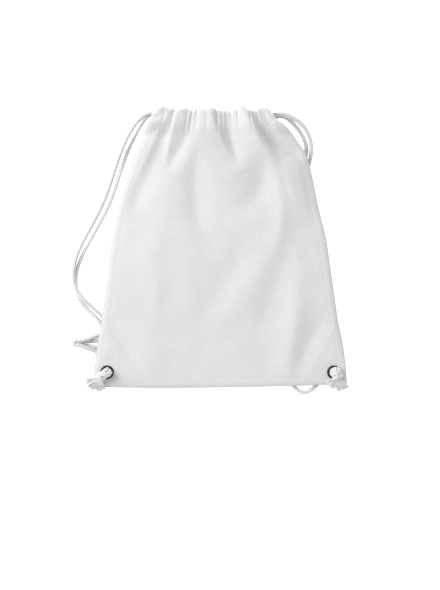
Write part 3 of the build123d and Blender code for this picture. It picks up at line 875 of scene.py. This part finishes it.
def directions(way):
    """A level direction, and the one across it."""
    along = unit(np.array([*way, 0.0]))
    return along, np.cross(np.array([0, 0, 1.0]), along)


def from_knot(side, reach, points):
    """From (along the knot, across it, up) to the row frame."""
    along, across = directions(reach)
    eyelet = np.array([*EYELETS[side == "right"], 0.0])
    places = eyelet + points[:, :1] * along + points[:, 1:2] * across
    places[:, 2] = points[:, 2]
    return places


TUFTS = 9
TUFT_ROOT = 2.2  # half width of the tassel at its root
YARN_TAPER = np.array([1, 1, 1, 1, 1, 1, 0.95, 0.85, 0.5])
STEPS = np.linspace(0, 1, len(YARN_TAPER))  # places along a yarn


def tassel(root, way, length, spread, lean, thick, count, seed):
    """Untwisted yarns from a knot's end, fanned out and sinking a little."""
    rng = np.random.default_rng(seed)
    way, across = directions(way)
    pieces = []
    tufts = np.linspace(-0.94, 0.94, TUFTS) + rng.uniform(-0.05, 0.05, TUFTS)
    for _ in range(count):
        swing = np.clip(rng.choice(tufts) + rng.normal(0, 0.055), -1, 1)
        level = rng.uniform(-1, 1)
        reach = length * (1 - 0.16 * swing**2) * rng.uniform(0.82, 1.04)
        wave = rng.uniform(0, 6.3, 2)
        out = STEPS * reach
        fan = swing * (TUFT_ROOT + (spread / 2 - TUFT_ROOT) * STEPS**0.9)
        aside = fan + 0.5 * np.sin(5.5 * STEPS + wave[0]) * STEPS
        up = level * thick * (1.1 + 0.6 * STEPS) + lean * STEPS**1.6
        up = up + 0.45 * np.sin(6.0 * STEPS + wave[1]) * STEPS
        path = np.array(root) + out[:, None] * way + aside[:, None] * across
        path[:, 2] += up
        path[:, 2] = np.maximum(path[:, 2], 0.8)
        pieces.append(tube(path, rng.uniform(0.34, 0.52) * YARN_TAPER, 6))
    return joined(pieces)


def wrap(start, end, turns, r_across, r_up, centre_up, phase, aside=0.0):
    """A cord's path round the knot."""
    t = np.linspace(0, 1, 90)
    angle = phase + t * turns * 2 * math.pi
    return np.stack([
        start + (end - start) * t,
        aside + r_across * np.cos(angle),
        centre_up + r_up * np.sin(angle),
    ], -1)


KNOT_BRAID_R, WRAP_BRAID_R, KNOT_STEP = 2.9, 2.8, 0.5
# Paths of the knots' loops, (along the knot, across it, up)
LEFT_LOOPS = [
    [(-1.4, 2.7, 3.6), (-1.4, 2.7, 12), (-2.6, 3.1, 17.5), (-4.2, 3.3, 21.2),
     (0, 3.4, 23.8), (6, 3.2, 23), (12, 2.8, 21.4), (17, 2.5, 19.8)],
    [(-1, -2.7, 3.6), (-1, -2.7, 12), (-2.4, -3, 17.5), (-3.6, -3.2, 21.2),
     (1, -3.3, 23.6), (7, -3.1, 23), (12, -2.8, 21.6), (17, -2.5, 19.6)],
    [(-1, 4.6, 19.8), (1, 3, 25.2), (4.5, 0, 26.4), (8, -2.8, 25),
     (10.5, -4.6, 21.5), (9.5, -4.2, 18.8)],
    [(-2, 0, 17.8), (-2, 0, 21.5), (4, 0, 21), (16, 0, 19.8)],
]
RIGHT_LOOPS = [
    [(-1.4, 2.7, 3.6), (-1.4, 2.7, 12), (-2.4, 3.8, 17.5), (-3.4, 6, 21),
     (1, 7.2, 23.6), (6, 6.6, 22.4), (12, 4.6, 19.8)],
    [(-1, -2.7, 3.6), (-1, -2.7, 12), (-1.8, -2.6, 17.5), (-3.4, -1.2, 20.8),
     (1, -1.6, 23.6), (7, -1.8, 22.4), (12, -2.8, 19.8)],
    [(-3.6, 2.4, 18.5), (-4.6, 2.6, 23), (0, 2.8, 26), (6, 2.6, 25.8),
     (10.5, 1.6, 22.6), (12, 1, 19.6)],
    [(-1, 1, 17.8), (2, 2.4, 21), (12, 1, 19.8)],
]
# Each knot's direction from its eyelet, its loops and the turns round them
KNOTS = {
    "left": ((-0.79, -0.61), LEFT_LOOPS, wrap(7.0, 14.5, 1.5, 4.4, 3.4, 21.8, 2.2)),
    "right": ((0.30, -0.95), RIGHT_LOOPS, wrap(1.0, 9.0, 1.4, 5.6, 3.8, 22.2, 0.6, aside=2.6)),
}
TASSELS = {
    # node: root, direction, length, spread, how far the tips sink, thickness, yarns
    "left_tassel_front": ((-176.2, -191.2, 20.6), (-0.86, -0.51), 22, 20, -4, 1.7, 120),
    "left_tassel_back": ((-175.2, -192.4, 20.2), (-0.10, -0.99), 17.5, 18.5, -4, 1.6, 110),
    "right_tassel_front": ((170, -190.6, 20.8), (-0.74, -0.67), 18.5, 18, -2, 1.3, 110),
    "right_tassel_back": ((172.8, -191.8, 20.8), (0.34, -0.94), 18, 19, -1.2, 1.7, 130),
}
for side, (reach, loops, turns) in KNOTS.items():
    paths = [(curve(loop, 60), KNOT_BRAID_R) for loop in loops] + [(turns, WRAP_BRAID_R)]
    tubes = []
    for path, radius in paths:
        line, _ = even_points(from_knot(side, reach, path), KNOT_STEP)
        tubes.append(tube(line, radius, 40, braid))
    knot = mesh_object(f"{side}_tied_knot", *joined(tubes))
    dress(knot, f"{side}_knot", "cord", body=f"{side}_knot")
for seed, (node, (root, way, length, spread, sink, thick, count)) in enumerate(TASSELS.items()):
    yarns = tassel(root, way, length, spread, sink, thick, count, seed + 5)
    obj = mesh_object(node + "_yarns", *yarns)
    dress(obj, node, "frayed_cord", body=node.split("_")[0] + "_knot")

# ---- Materials ----


class Nodes:
    """A short way to write a node tree."""

    def __init__(self, name):
        self.material = bpy.data.materials.new(name)
        self.material.use_nodes = True
        self.tree = self.material.node_tree
        place = self.add("TexCoord").outputs["Object"]
        scale = self.add("VectorMath", {0: place, "Scale": 1000.0}, operation="SCALE")
        self.millimetres = scale.outputs[0]

    def feed(self, node, inputs):
        """Gives a node's inputs a number, a colour, or what another node gives out."""
        for name, value in inputs.items():
            if isinstance(value, bpy.types.NodeSocket):
                self.tree.links.new(value, node.inputs[name])
            elif value is not None:
                node.inputs[name].default_value = value

    def add(self, kind, inputs=None, **settings):
        node = self.tree.nodes.new("ShaderNode" + kind)
        for key, value in settings.items():
            setattr(node, key, value)
        self.feed(node, inputs or {})
        return node

    def shader(self, inputs):
        self.feed(self.tree.nodes["Principled BSDF"], inputs)
        return self.material

    def noise(self, size, detail=2.0, stretch=(1, 1, 1)):
        """Noise of about this size in millimetres."""
        scale = [1 / (size * s) for s in stretch]
        mapping = self.add("Mapping", {"Vector": self.millimetres, "Scale": scale})
        inputs = {"Vector": mapping.outputs[0], "Scale": 1.0, "Detail": detail}
        return self.add("TexNoise", inputs).outputs["Fac"]

    def remap(self, value, low, high, to_low, to_high):
        """From the range low to high, to the range to_low to to_high."""
        limits = {"From Min": low, "From Max": high, "To Min": to_low, "To Max": to_high}
        return self.add("MapRange", {"Value": value, **limits}).outputs["Result"]

    def maths(self, operation, a, b=None):
        return self.add("Math", {0: a, 1: b}, operation=operation).outputs[0]

    def weighted(self, a, share_a, b, share_b):
        return self.maths("ADD", self.maths("MULTIPLY", a, share_a), self.maths("MULTIPLY", b, share_b))

    def threads(self, pitch):
        """Plain weave: ridges along X and Y that take turns on top."""
        split = self.add("SeparateXYZ", {0: self.millimetres})
        turn = 2 * math.pi / pitch
        x, y = (self.maths("SINE", self.maths("MULTIPLY", split.outputs[axis], turn)) for axis in "XY")
        return self.maths("MULTIPLY", x, y)

    def tint(self, value, dark, light):
        """From dark, a colour or a node's output, at 0 to the colour light at 1."""
        dark = (*dark, 1) if isinstance(dark, tuple) else dark
        inputs = {"Factor": value, "A": dark, "B": (*light, 1)}
        return self.add("Mix", inputs, data_type="RGBA").outputs["Result"]

    def bump(self, value, strength, distance, under=None):
        inputs = {"Height": value, "Strength": strength, "Distance": distance * MM, "Normal": under}
        return self.add("Bump", inputs).outputs["Normal"]


CLOTH_DARK, CLOTH_LIGHT = (0.575, 0.573, 0.569), (0.645, 0.643, 0.640)
FLECK = (0.30, 0.27, 0.24)
# painted shade along the panels' outline: its colour and how much of it is mixed in
SEAM_SHADE, SEAM_SHADE_SHARE = (0.36, 0.355, 0.35), 0.8
WEAVE_PITCH = 0.9


def cloth_material(name, bump_strength, fleck_level):
    """Plain cotton: weave, slubs, a few dark flecks, and painted shade along the outline."""
    n = Nodes(name)
    broad = n.noise(45, 3)
    grain = n.noise(1.5, 2)
    slubs = n.maths("MAXIMUM", n.noise(1.1, 1, (14, 1, 14)), n.noise(1.1, 1, (1, 14, 14)))
    shade = n.weighted(broad, 0.35, grain, 0.65)
    shade = n.maths("ADD", shade, n.remap(slubs, 0.6, 0.8, 0.0, 0.25))
    colour = n.tint(n.remap(shade, 0.35, 0.75, 0.0, 1.0), CLOTH_DARK, CLOTH_LIGHT)
    flecks = n.remap(n.noise(1.7, 0), fleck_level, fleck_level + 0.03, 0.0, 0.7)
    colour = n.tint(flecks, colour, FLECK)
    # painted shade: darker towards the outline, where the seam's roll would shade the cloth
    crease = n.add("Attribute", attribute_name="crease").outputs["Fac"]
    colour = n.tint(n.remap(crease, 0.0, 1.0, 0.0, SEAM_SHADE_SHARE), colour, SEAM_SHADE)
    wrinkle = n.bump(n.noise(7, 3), bump_strength, 0.55)
    coarse = n.bump(n.noise(1.6, 2), 0.5, 0.22, wrinkle)
    return n.shader({
        "Base Color": colour,
        "Roughness": 0.92,
        "Specular IOR Level": 0.25,
        "Sheen Weight": 0.12,
        "Sheen Roughness": 0.5,
        "Normal": n.bump(n.threads(WEAVE_PITCH), 0.5, 0.06, coarse),
    })


def yarn_material(name, dark, light, size):
    """Loose cotton yarns, with fibres of this size."""
    n = Nodes(name)
    fibres = n.noise(size, 3)
    return n.shader({
        "Base Color": n.tint(n.remap(fibres, 0.3, 0.7, 0.0, 1.0), dark, light),
        "Roughness": 0.85,
        "Sheen Weight": 0.1,
        "Sheen Roughness": 0.4,
        "Normal": n.bump(fibres, 0.6, 0.25),
    })


def braid_material(name, groove_shade_colour, thread):
    """Cotton threads, with painted shade down between each other where the threads are low."""
    n = Nodes(name)
    height = n.add("Attribute", attribute_name="thread").outputs["Fac"]
    fibres = n.noise(0.7, 3)
    # painted shade from the threads' height, darker in the grooves, mixed with the fibres' own tone
    groove_shade_and_fibre_tone = n.weighted(height, 0.75, fibres, 0.35)
    return n.shader({
        "Base Color": n.tint(n.remap(groove_shade_and_fibre_tone, 0.2, 0.85, 0.0, 1.0), groove_shade_colour, thread),
        "Roughness": 0.9,
        "Specular IOR Level": 0.2,
        "Normal": n.bump(fibres, 0.5, 0.2),
    })


def metal_material(name):
    """Black plated metal, a little worn."""
    n = Nodes(name)
    wear = n.noise(1.8, 4)
    return n.shader({
        "Base Color": n.tint(wear, (0.016, 0.016, 0.018), (0.045, 0.044, 0.046)),
        "Roughness": n.remap(wear, 0.3, 0.7, 0.24, 0.42),
        "Metallic": 0.85,
    })


LOOKS = {
    "canvas": cloth_material("canvas", 0.35, 0.84),
    "casing": cloth_material("casing", 0.45, 0.84),
    "overlocked_seam": cloth_material("overlocked_seam", 0.8, 0.85),
    # the cord's darker colour is painted shade in the braid's grooves
    "cord": braid_material("cord", (0.41, 0.407, 0.40), (0.74, 0.737, 0.73)),
    "frayed_cord": yarn_material("frayed_cord", (0.56, 0.557, 0.55), (0.82, 0.817, 0.81), 0.9),
    "eyelet": metal_material("black_nickel"),
}
for obj in bpy.context.scene.collection.objects:
    if obj.type == "MESH" and "look" in obj:
        obj.data.materials.clear()
        obj.data.materials.append(LOOKS[obj["look"]])
for side in EDGES:
    washer = frame["nodes"][f"{side}_eyelet_washer"]
    washer.data.materials.clear()
    washer.data.materials.append(LOOKS["eyelet"])

# ---- Floor, light and camera ----

scene = bpy.context.scene
bpy.ops.mesh.primitive_plane_add(size=8, location=(0, 0, 0))
floor = bpy.context.active_object
floor.name = "floor"
ground = Nodes("floor")
floor_material = ground.shader({
    "Base Color": ground.tint(ground.noise(60, 2), (0.93, 0.93, 0.93), (0.95, 0.95, 0.95)),
    "Roughness": 0.95,
    "Specular IOR Level": 0.1,
    # a little light of its own keeps the floor as white as the photograph's
    "Emission Color": (1, 1, 1, 1),
    "Emission Strength": 0.8,
})
floor.data.materials.append(floor_material)


def area_light(name, place, size, watts):
    """A square light at this place, turned to the bag."""
    data = bpy.data.lights.new(name, "AREA")
    data.size = size
    data.energy = watts
    light = bpy.data.objects.new(name, data)
    light.location = place
    light.rotation_euler = (-Vector(place)).to_track_quat("-Z", "Y").to_euler()
    scene.collection.objects.link(light)


area_light("key", (-2.4, 1.3, 1.9), 1.9, 112.0)
area_light("fill", (2.2, -1.4, 2.0), 3.0, 12.0)
world = bpy.data.worlds.new("studio")
world.use_nodes = True
background = world.node_tree.nodes["Background"].inputs
background["Color"].default_value = (1, 1, 1, 1)
background["Strength"].default_value = 0.70
scene.world = world
scene.view_settings.view_transform = "Standard"

camera_data = bpy.data.cameras.new("camera")
camera_data.lens = 100
camera_data.clip_end = 20
camera = bpy.data.objects.new("camera", camera_data)
camera.location = (-0.0007, -0.0696, 2.398)
scene.collection.objects.link(camera)
scene.camera = camera
